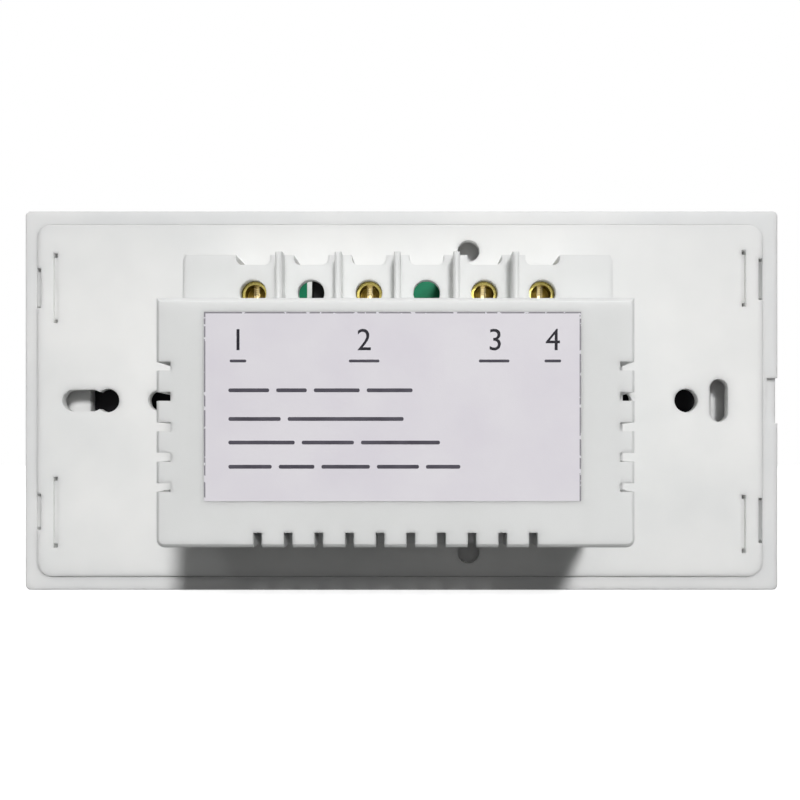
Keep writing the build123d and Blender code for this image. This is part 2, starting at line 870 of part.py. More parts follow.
with BuildPart() as light_rings:
    with BuildSketch(at(touch_front_y)):
        with Locations((-key_x, 0), (key_x, 0)):
            RegularPolygon(key_ring_out, ring_sides)
            RegularPolygon(key_ring_in, ring_sides, mode=Mode.SUBTRACT)
    extrude(amount=pad_t)
light_rings.part.label = "light_rings"

with BuildPart() as adhesive_strips:
    with BuildSketch(at(touch_front_y)):
        for side in (-1, 1):
            with Locations((0, side * (touch_high / 2 - strip_inset - strip_w / 2))):
                Rectangle(touch_len - 2 * strip_inset, strip_w)
    extrude(amount=pad_t)
adhesive_strips.part.label = "adhesive_strips"

with BuildPart() as radio_board:
    with BuildSketch(at(touch_y + radio_t)):
        with Locations((radio_x, radio_z)):
            Rectangle(radio_len, radio_high)
    extrude(amount=radio_t)
radio_board.part.label = "radio_board"

with BuildPart() as radio_can:
    with BuildSketch(at(touch_y + radio_t + can_t)):
        with Locations((radio_x, radio_z - (radio_high - can_high) / 2 + strip_inset / 2)):
            Rectangle(can_len, can_high)
    extrude(amount=can_t)
    chamfer(radio_can.edges().filter_by(Axis.Y), shield_edge)
    chamfer(radio_can.faces().filter_by(Axis.Y).sort_by(Axis.Y)[-1].edges(), shield_edge)
radio_can.part.label = "radio_can"

with BuildPart() as touch_chip:
    with BuildSketch(at(touch_y + chip_t)):
        with Locations((chip_x, 0)):
            Rectangle(chip_w, chip_len)
    extrude(amount=chip_t)
    chamfer(touch_chip.edges().filter_by(Axis.X).group_by(Axis.Y)[-1], chip_t / 4)
touch_chip.part.label = "touch_chip"

pieces = [
    glass_panel,
    back_film,
    panel_frame,
    touch_board,
    touch_pads,
    light_rings,
    adhesive_strips,
    radio_board,
    radio_can,
    touch_chip,
    plug_block,
    plug_pins,
    mounting_plate,
    rear_housing,
    label,
    inner_cover,
    cover_screws,
    power_board,
    socket,
    terminal_cages,
    relay_bases,
    relay_cases,
    transformer_core,
    transformer_bobbin,
    transformer_winding,
    capacitors,
    choke_core,
    choke_winding,
    varistor,
    fuse,
    bridge_rectifier,
    power_chip,
]
pieces += list(clamps.values())
pieces += list(screws.values())
for piece in pieces:
    export_step(piece.part, f"parts/{piece.part.label}.step")
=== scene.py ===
import math

import bmesh
import bpy
import numpy as np
from mathutils import Matrix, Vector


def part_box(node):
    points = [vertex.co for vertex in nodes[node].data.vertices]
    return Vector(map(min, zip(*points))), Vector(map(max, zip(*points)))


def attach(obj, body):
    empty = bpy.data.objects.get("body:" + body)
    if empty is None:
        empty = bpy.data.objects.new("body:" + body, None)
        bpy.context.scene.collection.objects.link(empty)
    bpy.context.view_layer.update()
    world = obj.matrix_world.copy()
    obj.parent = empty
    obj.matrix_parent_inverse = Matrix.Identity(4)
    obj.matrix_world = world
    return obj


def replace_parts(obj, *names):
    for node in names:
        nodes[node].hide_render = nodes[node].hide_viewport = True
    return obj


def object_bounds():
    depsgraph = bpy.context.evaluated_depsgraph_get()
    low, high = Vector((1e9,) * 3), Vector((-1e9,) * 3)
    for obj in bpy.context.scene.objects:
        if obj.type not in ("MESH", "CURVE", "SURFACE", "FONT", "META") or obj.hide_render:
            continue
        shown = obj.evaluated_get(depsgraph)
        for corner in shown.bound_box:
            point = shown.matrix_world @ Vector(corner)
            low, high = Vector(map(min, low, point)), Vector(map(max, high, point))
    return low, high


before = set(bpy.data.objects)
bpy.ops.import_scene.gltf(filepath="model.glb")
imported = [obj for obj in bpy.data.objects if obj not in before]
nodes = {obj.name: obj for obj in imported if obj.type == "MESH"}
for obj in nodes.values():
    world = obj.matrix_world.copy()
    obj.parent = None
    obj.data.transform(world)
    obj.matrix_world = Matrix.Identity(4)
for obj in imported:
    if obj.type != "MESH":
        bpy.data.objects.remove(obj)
cad_low, cad_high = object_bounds()
mm = 0.001
scene = bpy.context.scene
scene.view_settings.view_transform = "Standard"


# The studio: a camera square on to the back of the switch, as near as a hand's width. One
# window-sized key light stands high on the camera's side, with weaker light all round, and
# a small lamp by the camera reaches into the holes that face it.
eye_x, eye_y, eye_z = -3.55 * mm, 158.0 * mm, -8.43 * mm
camera_data = bpy.data.cameras.new("camera")
camera_data.sensor_width = 36.0
camera_data.lens = 36.67
camera_data.shift_x = -0.0225
camera_data.shift_y = 0.055
camera_data.clip_start = 0.005
camera = bpy.data.objects.new("camera", camera_data)
camera.location = (eye_x, eye_y, eye_z)
camera.rotation_euler = (math.pi / 2, 0.0, math.pi)
scene.collection.objects.link(camera)
scene.camera = camera


def sun_lamp(name, towards, strength, angle):
    """A sun lamp that shines from the direction `towards`: tipped by the angle between that
    direction and straight up, then turned to its compass angle. Shadows have a soft edge of
    `angle` degrees."""
    data = bpy.data.lights.new(name, "SUN")
    data.energy = strength
    data.angle = math.radians(angle)
    lamp = bpy.data.objects.new(name, data)
    x, y, z = towards
    tip = math.atan2(math.hypot(x, y), z)
    lamp.rotation_euler = (tip, 0.0, math.atan2(y, x) + math.pi / 2)
    scene.collection.objects.link(lamp)


sun_lamp("key_light", (-0.2, 1.0, 0.47), 2.72, 8.0)
sun_lamp("front_fill", (0.35, -1.0, 0.15), 2.3, 30.0)
sun_lamp("side_fill", (0.8, 0.6, 1.6), 0.35, 25.0)
sun_lamp("other_fill", (-0.8, 0.6, 1.6), 0.2, 25.0)
near_data = bpy.data.lights.new("near_fill", "POINT")
near_data.energy = 0.08
near_data.shadow_soft_size = 20.0 * mm
near_fill = bpy.data.objects.new("near_fill", near_data)
near_fill.location = (eye_x, 182.0 * mm, eye_z)
scene.collection.objects.link(near_fill)


def eye_rays(tree):
    """One on rays that come from the eye straight, off a gloss or through glass, otherwise
    nought: the largest of the camera, glossy and transmission values of the light path."""
    rays = tree.nodes.new("ShaderNodeLightPath")
    value = rays.outputs["Is Camera Ray"]
    for kind in ("Is Glossy Ray", "Is Transmission Ray"):
        either = tree.nodes.new("ShaderNodeMath")
        either.operation = "MAXIMUM"
        tree.links.new(value, either.inputs[0])
        tree.links.new(rays.outputs[kind], either.inputs[1])
        value = either.outputs[0]
    return value


world = bpy.data.worlds.new("studio")
scene.world = world
world.use_nodes = True
sky_tree = world.node_tree
sky_tree.nodes.clear()
sky = sky_tree.nodes.new("ShaderNodeBackground")
sky.inputs["Color"].default_value = (1.0, 1.0, 1.0, 1.0)
sky_level = sky_tree.nodes.new("ShaderNodeMapRange")
sky_level.inputs["To Min"].default_value = 0.05
sky_level.inputs["To Max"].default_value = 1.0
sky_tree.links.new(eye_rays(sky_tree), sky_level.inputs["Value"])
sky_tree.links.new(sky_level.outputs["Result"], sky.inputs["Strength"])
sky_out = sky_tree.nodes.new("ShaderNodeOutputWorld")
sky_tree.links.new(sky.outputs["Background"], sky_out.inputs["Surface"])


# The floor: a pale sheet of paper on which the panel stands on its long edge. It keeps the
# shadow, and is clear from below so that a low view isn't covered.
floor_half = 0.9
floor_z = cad_low.z - 0.05 * mm
floor_corners = [
    (x * floor_half, y * floor_half, floor_z) for x, y in ((-1, -1), (1, -1), (1, 1), (-1, 1))
]
floor_mesh = bpy.data.meshes.new("floor")
floor_mesh.from_pydata(floor_corners, [], [(0, 1, 2, 3)])
floor = bpy.data.objects.new("floor", floor_mesh)
scene.collection.objects.link(floor)
floor.visible_diffuse = False
paper = bpy.data.materials.new("floor_paper")
paper.use_nodes = True
paper_tree = paper.node_tree
paper_tree.nodes.clear()
matt = paper_tree.nodes.new("ShaderNodeBsdfDiffuse")
matt.inputs["Color"].default_value = (0.6, 0.6, 0.6, 1.0)
glow = paper_tree.nodes.new("ShaderNodeEmission")
glow.inputs["Color"].default_value = (0.8, 0.8, 0.8, 1.0)
lit = paper_tree.nodes.new("ShaderNodeAddShader")
paper_tree.links.new(matt.outputs[0], lit.inputs[0])
paper_tree.links.new(glow.outputs[0], lit.inputs[1])
by_ray = paper_tree.nodes.new("ShaderNodeMixShader")
paper_tree.links.new(eye_rays(paper_tree), by_ray.inputs[0])
paper_tree.links.new(matt.outputs[0], by_ray.inputs[1])
paper_tree.links.new(lit.outputs[0], by_ray.inputs[2])
clear = paper_tree.nodes.new("ShaderNodeBsdfTransparent")
side = paper_tree.nodes.new("ShaderNodeNewGeometry")
by_side = paper_tree.nodes.new("ShaderNodeMixShader")
paper_tree.links.new(side.outputs["Backfacing"], by_side.inputs[0])
paper_tree.links.new(by_ray.outputs[0], by_side.inputs[1])
paper_tree.links.new(clear.outputs[0], by_side.inputs[2])
paper_out = paper_tree.nodes.new("ShaderNodeOutputMaterial")
paper_tree.links.new(by_side.outputs[0], paper_out.inputs["Surface"])
floor_mesh.materials.append(paper)


# Mounting plate: white polycarbonate, injection moulded, screwed to the wall box.
# Its upright rim carries the panel, and grooves behind the short ends make the snap arms.
def srgb(r, g, b):
    """The linear colour of an 8-bit sRGB colour: a straight line near black, a power above."""
    c = np.array([r, g, b]) / 255.0
    c = np.where(c <= 0.04045, c / 12.92, ((c + 0.055) / 1.055) ** 2.4)
    return (float(c[0]), float(c[1]), float(c[2]), 1.0)


def surface(name, tones, patch, grain, rough, bump, metal=0.0, **fixed):
    """A material whose colour wanders between two tones in soft patches, whose roughness
    follows a fine grain and whose bump is that same grain. Patch and grain are in cycles per
    metre, on Object coordinates. What is the same all over is a plain value on the shader."""
    material = bpy.data.materials.new(name)
    material.use_nodes = True
    tree = material.node_tree
    shader = tree.nodes["Principled BSDF"]
    shader.inputs["Metallic"].default_value = metal
    for socket, value in fixed.items():
        shader.inputs[socket.replace("_", " ")].default_value = value
    coords = tree.nodes.new("ShaderNodeTexCoord")
    soft = tree.nodes.new("ShaderNodeTexNoise")
    soft.inputs["Scale"].default_value = patch
    soft.inputs["Detail"].default_value = 3.0
    fine = tree.nodes.new("ShaderNodeTexNoise")
    fine.inputs["Scale"].default_value = grain
    fine.inputs["Detail"].default_value = 4.0
    tree.links.new(coords.outputs["Object"], soft.inputs["Vector"])
    tree.links.new(coords.outputs["Object"], fine.inputs["Vector"])
    ramp = tree.nodes.new("ShaderNodeValToRGB")
    ramp.name = "tones"
    for stop, position, tone in zip(ramp.color_ramp.elements, (0.35, 0.65), tones):
        stop.position = position
        stop.color = srgb(*tone)
    tree.links.new(soft.outputs["Fac"], ramp.inputs["Fac"])
    tree.links.new(ramp.outputs["Color"], shader.inputs["Base Color"])
    spread = tree.nodes.new("ShaderNodeMapRange")
    spread.inputs["From Min"].default_value = 0.3
    spread.inputs["From Max"].default_value = 0.7
    spread.inputs["To Min"].default_value = rough[0]
    spread.inputs["To Max"].default_value = rough[1]
    tree.links.new(fine.outputs["Fac"], spread.inputs["Value"])
    tree.links.new(spread.outputs["Result"], shader.inputs["Roughness"])
    relief = tree.nodes.new("ShaderNodeBump")
    relief.inputs["Strength"].default_value = bump
    relief.inputs["Distance"].default_value = 0.05 * mm
    tree.links.new(fine.outputs["Fac"], relief.inputs["Height"])
    tree.links.new(relief.outputs["Normal"], shader.inputs["Normal"])
    return material


def wear(node, material):
    """Puts a material into every slot of a CAD node, whose mesh stays as it is."""
    thing = nodes[node]
    if not thing.data.materials:
        thing.data.materials.append(material)
    for slot in thing.material_slots:
        slot.material = material


# Light goes a little way into the white plate, frame and housing, and further where they are
# thicker.
milky = {
    "Specular_IOR_Level": 0.2,
    "Subsurface_Weight": 1.0,
    "Subsurface_Radius": (1.0, 1.0, 1.0),
}
plate_plastic = surface(
    "plate_plastic", ((228, 229, 228), (240, 240, 238)),
    patch=35.0, grain=2600.0, rough=(0.42, 0.56), bump=0.12, Subsurface_Scale=2.6 * mm, **milky,
)
wear("mounting_plate", plate_plastic)


# Panel frame: the white moulded skirt behind the glass. It closes over the plate's rim.
# Made of the same plastic, in a tone a little greyer than the plate's all over.
frame_plastic = surface(
    "frame_plastic", ((223, 224, 224), (230, 230, 229)),
    patch=45.0, grain=2400.0, rough=(0.38, 0.5), bump=0.1, Subsurface_Scale=1.8 * mm, **milky,
)
wear("panel_frame", frame_plastic)


# Glass panel: one sheet of clear float glass with ground and polished bevels.
# The black film printed behind it gives it its colour.
glass = surface(
    "float_glass", ((246, 250, 249), (250, 252, 251)),
    patch=20.0, grain=60.0, rough=(0.01, 0.03), bump=0.01, Transmission_Weight=1.0, IOR=1.5,
)
wear("glass_panel", glass)
film_ink = surface(
    "film_ink", ((20, 19, 22), (23, 22, 25)),
    patch=120.0, grain=3000.0, rough=(0.4, 0.45), bump=0.01, Specular_IOR_Level=0.08,
)
wear("back_film", film_ink)


# Rear housing: the deep white box that goes into the wall box, moulded in one shot with
# the terminal shelf, the barrier fins and the open vents. The lid inside it is moulded in
# the same way, and keeps the power board out of reach.
house_plastic = surface(
    "house_plastic", ((221, 222, 221), (227, 228, 227)),
    patch=38.0, grain=2200.0, rough=(0.4, 0.54), bump=0.14, Subsurface_Scale=2.4 * mm, **milky,
)
wear("rear_housing", house_plastic)
cover_plastic = surface(
    "cover_plastic", ((226, 227, 226), (233, 233, 231)),
    patch=50.0, grain=2200.0, rough=(0.4, 0.55), bump=0.1, Specular_IOR_Level=0.2,
)
wear("inner_cover", cover_plastic)


# Rating label: a matt silver-lilac vinyl sticker on the back of the housing, printed in
# dark grey. It carries plain terminal numbers and broken rules, and its cut edge shows as
# a thin broken grey line along the top and the sides.
label_low, label_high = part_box("label")
label_back = label_high.y
edge_line = 0.24 * mm
label_vinyl = surface(
    "label_vinyl", ((211, 207, 214), (216, 213, 218)),
    patch=90.0, grain=5200.0, rough=(0.5, 0.7), bump=0.2,
)
label_tree = label_vinyl.node_tree
label_coords = label_tree.nodes["Texture Coordinate"].outputs["Object"]
place = label_tree.nodes.new("ShaderNodeSeparateXYZ")
label_tree.links.new(label_coords, place.inputs[0])


def beyond(socket, limit, above):
    """One where a value lies beyond a limit on the given side, otherwise nought."""
    node = label_tree.nodes.new("ShaderNodeMath")
    node.operation = "GREATER_THAN" if above else "LESS_THAN"
    node.inputs[1].default_value = limit
    label_tree.links.new(socket, node.inputs[0])
    return node.outputs[0]


def joined(operation, first, second):
    """Two values put together: their larger one (MAXIMUM) or their product (MULTIPLY)."""
    node = label_tree.nodes.new("ShaderNodeMath")
    node.operation = operation
    label_tree.links.new(first, node.inputs[0])
    label_tree.links.new(second, node.inputs[1])
    return node.outputs[0]


at_left = beyond(place.outputs["X"], label_low.x + edge_line, False)
at_right = beyond(place.outputs["X"], label_high.x - edge_line, True)
at_top = beyond(place.outputs["Z"], label_high.z - edge_line, True)
at_edge = joined("MAXIMUM", joined("MAXIMUM", at_left, at_right), at_top)
gaps = label_tree.nodes.new("ShaderNodeTexNoise")
gaps.inputs["Scale"].default_value = 900.0
label_tree.links.new(label_coords, gaps.inputs["Vector"])
broken = joined("MULTIPLY", at_edge, beyond(gaps.outputs["Fac"], 0.4, True))
edged = label_tree.nodes.new("ShaderNodeMix")
edged.data_type = "RGBA"
edged.inputs["B"].default_value = srgb(128, 125, 132)
label_tree.links.new(broken, edged.inputs["Factor"])
label_tree.links.new(label_tree.nodes["tones"].outputs["Color"], edged.inputs["A"])
label_shader = label_tree.nodes["Principled BSDF"]
label_tree.links.new(edged.outputs["Result"], label_shader.inputs["Base Color"])
wear("label", label_vinyl)


def close_shell(mesh):
    """Welds points that lie within a fifth of a micrometre and turns all faces outwards."""
    shell = bmesh.new()
    shell.from_mesh(mesh)
    bmesh.ops.remove_doubles(shell, verts=shell.verts, dist=2e-7)
    bmesh.ops.recalc_face_normals(shell, faces=shell.faces)
    shell.to_mesh(mesh)
    shell.free()


def grid_piece(name, points, material, body, wrap_u=False, wrap_v=False):
    """A new piece from an array of grids (how many, rows, columns, 3). Each grid is a surface
    of two parameters, joined round in either direction where asked: a face lies between each
    two rows and each two columns. Doubled points are merged, so that rows that shrink to a
    point close a pole, and the faces are turned outwards."""
    count, rows, columns = points.shape[:3]
    index = np.arange(count * rows * columns).reshape(count, rows, columns)
    if wrap_u:
        index = np.concatenate([index, index[:, :1]], axis=1)
    if wrap_v:
        index = np.concatenate([index, index[:, :, :1]], axis=2)
    here, below = index[:, :-1], index[:, 1:]
    faces = np.stack([here[..., :-1], below[..., :-1], below[..., 1:], here[..., 1:]], axis=-1)
    mesh = bpy.data.meshes.new(name)
    mesh.from_pydata(points.reshape(-1, 3).tolist(), [], faces.reshape(-1, 4).tolist())
    close_shell(mesh)
    mesh.materials.append(material)
    thing = bpy.data.objects.new(name, mesh)
    scene.collection.objects.link(thing)
    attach(thing, body)
    return thing


def smooth(thing, angle=40.0):
    """Shades a piece smoothly, except across edges sharper than the angle."""
    polygons = thing.data.polygons
    polygons.foreach_set("use_smooth", np.ones(len(polygons), dtype=bool))
    thing.data.set_sharp_from_angle(angle=math.radians(angle))
    return thing


def rounded_outline(width, height, corner, steps=4):
    """A rounded rectangle, anticlockwise, as (n, 2). Each corner is a quarter circle of a few
    points about a centre that lies one corner radius in from both sides."""
    turn = np.linspace(0.0, np.pi / 2, steps)
    parts = []
    for quarter, (sx, sz) in enumerate(((1, 1), (-1, 1), (-1, -1), (1, -1))):
        angle = turn + quarter * np.pi / 2
        centre = np.array([sx * (width / 2 - corner), sz * (height / 2 - corner)])
        parts.append(centre + corner * np.stack([np.cos(angle), np.sin(angle)], axis=1))
    return np.concatenate(parts)


def pressed_blocks(centres, width, height, low_y, high_y, corner, edge):
    """Like blocks standing on the plane y = low_y: a rounded outline carried straight up to
    high_y, drawn in by `edge` over its last step, and closed to a point at both ends."""
    outline = rounded_outline(width, height, corner)
    small = outline * (1.0 - 2.0 * edge / np.array([width, height]))
    rings = np.stack([outline * 0.0, outline, outline, small, small * 0.0])
    levels = np.array([low_y, low_y, high_y - edge, high_y, high_y])
    shape = np.zeros((5, len(outline), 3))
    shape[:, :, 0] = rings[:, :, 0]
    shape[:, :, 2] = rings[:, :, 1]
    shape[:, :, 1] = levels[:, None]
    spots = np.array([(x, 0.0, z) for x, z in centres])
    return shape[None] + spots[:, None, None, :]


label_ink = surface(
    "label_ink", ((20, 18, 26), (30, 28, 36)),
    patch=300.0, grain=4200.0, rough=(0.5, 0.6), bump=0.05, Specular_IOR_Level=0.15,
)
ink_top = label_back + 0.015 * mm
ink_edge = 0.005 * mm
numeral_high = 3.4 * mm
share_of_font_size = 0.7
numeral_half = 0.01 * mm
numeral_z = 7.75 * mm
numeral_turn = Matrix.Rotation(math.pi, 4, "Z") @ Matrix.Rotation(math.pi / 2, 4, "X")
for number, x in ((1, 24.7), (2, 4.9), (3, -15.7), (4, -24.75)):
    words = bpy.data.curves.new(f"numeral_{number}", "FONT")
    words.body = str(number)
    words.size = numeral_high / share_of_font_size
    words.align_x = "CENTER"
    words.align_y = "CENTER"
    words.extrude = numeral_half
    words.resolution_u = 6
    drawn = bpy.data.objects.new("words", words)
    scene.collection.objects.link(drawn)
    bpy.context.view_layer.update()
    numeral = bpy.data.objects.new(f"numeral_{number}", bpy.data.meshes.new_from_object(drawn))
    bpy.data.objects.remove(drawn)
    scene.collection.objects.link(numeral)
    numeral_place = Matrix.Translation((x * mm, ink_top - numeral_half, numeral_z))
    numeral.data.transform(numeral_place @ numeral_turn)
    close_shell(numeral.data)
    numeral.data.materials.clear()
    numeral.data.materials.append(label_ink)
    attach(numeral, "base")

rule_ink = surface(
    "rule_ink", ((66, 63, 72), (80, 77, 86)),
    patch=300.0, grain=4200.0, rough=(0.5, 0.6), bump=0.05, Specular_IOR_Level=0.15,
)


def printed_rule(x, z, length, width, corner):
    """A rule of ink in millimetres: a rounded block on the label, centred at (x, z)."""
    sizes = (length * mm, width * mm, label_back, ink_top, corner * mm, ink_edge)
    return pressed_blocks([(x * mm, z * mm)], *sizes)


rule_left = 26.2
rule_gap = 1.1
rule_rows = (
    (0.0, (6.4, 4.8, 7.2, 7.2)),
    (-4.5, (8.2, 18.2)),
    (-8.2, (10.4, 8.2, 12.4)),
    (-12.0, (6.8, 5.6, 7.6, 6.6, 5.4)),
)
underline_z = 4.6
underlines = ((24.7, 2.6), (4.9, 4.8), (-15.5, 4.8), (-24.7, 2.6))
rule_wide, rule_corner = 0.6, 0.25
underline_wide, underline_corner = 0.45, 0.2
rules = []
for z, lengths in rule_rows:
    reached = rule_left
    for length in lengths:
        rules.append(printed_rule(reached - length / 2, z, length, rule_wide, rule_corner))
        reached -= length + rule_gap
for x, length in underlines:
    rules.append(printed_rule(x, underline_z, length, underline_wide, underline_corner))
grid_piece("label_rules", np.concatenate(rules), rule_ink, "base", wrap_v=True)


# Brass terminals: square cages bent and brazed from strip, with a tapped collar. The
# screws are turned from brass bar, and the plates that they press down are stamped steel.
brass = surface(
    "cage_brass", ((168, 154, 84), (198, 184, 110)),
    patch=420.0, grain=5200.0, rough=(0.22, 0.36), bump=0.15, metal=1.0,
)
wear("terminal_cages", brass)
clamp_steel = surface(
    "clamp_steel", ((168, 166, 158), (190, 188, 180)),
    patch=500.0, grain=5000.0, rough=(0.25, 0.4), bump=0.12, metal=1.0,
)


def turned_brass(name, node):
    """Brass with the fine rings that a lathe leaves, centred on the node's own axis along Y:
    the bump is a sine of the distance from that axis. Its dark brown tones are painted shade
    for the deep bore the screw sits in. It turns bright within a short distance of the slot,
    which is a painted highlight in the form of a bright upright streak."""
    # The dark brown tones are painted shade for the bore round the screw.
    material = surface(
        name, ((58, 45, 10), (90, 74, 30)),
        patch=700.0, grain=6000.0, rough=(0.3, 0.42), bump=0.12, metal=1.0,
    )
    made, links = material.node_tree.nodes, material.node_tree.links
    shader = made["Principled BSDF"]
    low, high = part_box(node)
    centred = made.new("ShaderNodeMapping")
    centred.inputs["Location"].default_value = (-(low.x + high.x) / 2, 0.0, -(low.z + high.z) / 2)
    links.new(made["Texture Coordinate"].outputs["Object"], centred.inputs["Vector"])
    rings = made.new("ShaderNodeTexWave")
    rings.wave_type = "RINGS"
    rings.rings_direction = "Y"
    rings.inputs["Scale"].default_value = 900.0
    links.new(centred.outputs["Vector"], rings.inputs["Vector"])
    grooves = made.new("ShaderNodeBump")
    grooves.inputs["Strength"].default_value = 0.6
    grooves.inputs["Distance"].default_value = 0.04 * mm
    links.new(rings.outputs["Fac"], grooves.inputs["Height"])
    links.new(made["Bump"].outputs["Normal"], grooves.inputs["Normal"])
    links.new(grooves.outputs["Normal"], shader.inputs["Normal"])
    apart = made.new("ShaderNodeSeparateXYZ")
    links.new(centred.outputs["Vector"], apart.inputs["Vector"])
    # Painted highlight: a bright upright band through the axis, fading out by 0.6 mm to either
    # side.
    aside = made.new("ShaderNodeMath")
    aside.operation = "ABSOLUTE"
    links.new(apart.outputs["X"], aside.inputs[0])
    streak_mask = made.new("ShaderNodeMapRange")
    streak_mask.interpolation_type = "SMOOTHSTEP"
    streak_mask.inputs["From Min"].default_value = 0.1 * mm
    streak_mask.inputs["From Max"].default_value = 0.6 * mm
    streak_mask.inputs["To Min"].default_value = 1.0
    streak_mask.inputs["To Max"].default_value = 0.0
    links.new(aside.outputs[0], streak_mask.inputs["Value"])
    painted_highlight = made.new("ShaderNodeMix")
    painted_highlight.data_type = "RGBA"
    painted_highlight.inputs["B"].default_value = srgb(238, 220, 170)
    links.new(streak_mask.outputs["Result"], painted_highlight.inputs["Factor"])
    links.new(made["tones"].outputs["Color"], painted_highlight.inputs["A"])
    links.new(painted_highlight.outputs["Result"], shader.inputs["Base Color"])
    return material


for number in (1, 3, 5, 6):
    screw = f"terminal_screw_{number}"
    wear(screw, turned_brass(f"screw_brass_{number}", screw))
    wear(f"clamp_plate_{number}", clamp_steel)


# Boards: woven glass laminate under green solder mask.
# The power board carries the mains parts, the touch board the keys and the radio.
mask_green = surface(
    "mask_green", ((8, 108, 74), (16, 128, 90)),
    patch=260.0, grain=3200.0, rough=(0.3, 0.42), bump=0.1, Specular_IOR_Level=0.12,
)
for node in ("power_board", "touch_board", "radio_board"):
    wear(node, mask_green)
board_low, board_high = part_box("power_board")
touch_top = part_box("touch_board")[1].y


# Relays: two sealed ones side by side, each with a moulded blue case that is pushed over a
# black base and glued, so that nothing of the works shows.
relay_plastic = surface(
    "relay_plastic", ((34, 88, 156), (44, 102, 172)),
    patch=200.0, grain=2600.0, rough=(0.35, 0.5), bump=0.1,
)
wear("relay_cases", relay_plastic)


# Black mouldings: the fuse, the relays' bases, the rectifier and the chips in black epoxy,
# and the two halves of the connector in black nylon, all from steel moulds.
fuse_plastic = surface(
    "fuse_plastic", ((9, 11, 11), (18, 20, 20)),
    patch=200.0, grain=2600.0, rough=(0.4, 0.52), bump=0.1, Specular_IOR_Level=0.1,
)
black_parts = ("fuse", "relay_bases", "bridge_rectifier", "power_chip", "touch_chip")
for node in black_parts + ("socket", "plug_block"):
    wear(node, fuse_plastic)


# Small metal parts: zinc-plated screws that hold the inner lid, the drawn can over the
# radio, and the gold-plated pins of the plug.
steel = surface(
    "screw_zinc", ((176, 178, 180), (200, 202, 204)),
    patch=500.0, grain=5200.0, rough=(0.22, 0.36), bump=0.1, metal=1.0,
)
wear("cover_screws", steel)
wear("radio_can", steel)
pin_gold = surface(
    "pin_gold", ((206, 170, 92), (222, 188, 112)),
    patch=500.0, grain=5200.0, rough=(0.2, 0.3), bump=0.05, metal=1.0,
)
wear("plug_pins", pin_gold)


# What lies between the touch board and the film: soft grey pads that carry the touch,
# milky rings that spread the light, and the foam tape that holds it all to the glass.
pad_foam = surface(
    "pad_foam", ((52, 52, 54), (66, 66, 68)),
    patch=500.0, grain=6200.0, rough=(0.8, 0.95), bump=0.4,
)
wear("touch_pads", pad_foam)
diffuser = surface(
    "ring_diffuser", ((224, 226, 226), (234, 236, 236)),
    patch=200.0, grain=2600.0, rough=(0.3, 0.4), bump=0.05,
)
wear("light_rings", diffuser)
strip_tape = surface(
    "strip_tape", ((206, 208, 206), (220, 220, 218)),
    patch=200.0, grain=2600.0, rough=(0.5, 0.7), bump=0.1,
)
wear("adhesive_strips", strip_tape)


# Electrolytic capacitors: aluminium cans crimped over a rubber bung, in a shrunk sleeve
# that folds over the rolled top edge. The bare top is scored with a cross as a vent, and a
# printed stripe marks the negative lead.
def turned_round(profile, centre, steps=40):
    """A profile of (radius, level) points turned about an axis along Y through centre (x, z)."""
    angle = np.linspace(0.0, 2 * np.pi, steps, endpoint=False)
    shape = np.zeros((1, len(profile), steps, 3))
    shape[0, :, :, 0] = centre[0] + profile[:, :1] * np.cos(angle)
    shape[0, :, :, 1] = profile[:, 1:]
    shape[0, :, :, 2] = centre[1] + profile[:, :1] * np.sin(angle)
    return shape


sleeve = surface(
    "capacitor_sleeve", ((24, 34, 62), (32, 44, 76)),
    patch=200.0, grain=2600.0, rough=(0.25, 0.35), bump=0.05,
)
wear("capacitors", sleeve)
can_tin = surface(
    "can_aluminium", ((186, 188, 190), (206, 208, 210)),
    patch=300.0, grain=5200.0, rough=(0.3, 0.42), bump=0.1, metal=1.0,
)
stripe_ink = surface(
    "sleeve_stripe", ((196, 200, 206), (210, 214, 220)),
    patch=300.0, grain=4200.0, rough=(0.3, 0.4), bump=0.05,
)
foot = board_high.y
roll_r = 0.6 * mm
crimp_deep = 0.45 * mm
crimp_up = 1.5 * mm
crimp_tall = 0.5 * mm
fold_in = 1.15 * mm
score_deep = 0.14 * mm
score_wide = 0.16 * mm
dome_high = 0.08 * mm
dome_slope = 6.0
lid_down = 0.1 * mm
lid_under = 0.4 * mm
stripe_half = 0.32
stripe_back = 0.1 * mm
stripe_up = 3.0 * mm
stripe_down = 0.7 * mm
roll = np.linspace(0.0, np.pi / 2, 6)
dip = np.linspace(0.0, np.pi, 9)
across = np.linspace(0.0, 1.0, 26)
arc = np.linspace(-stripe_half, stripe_half, 9)
sleeves, tops, stripes = [], [], []
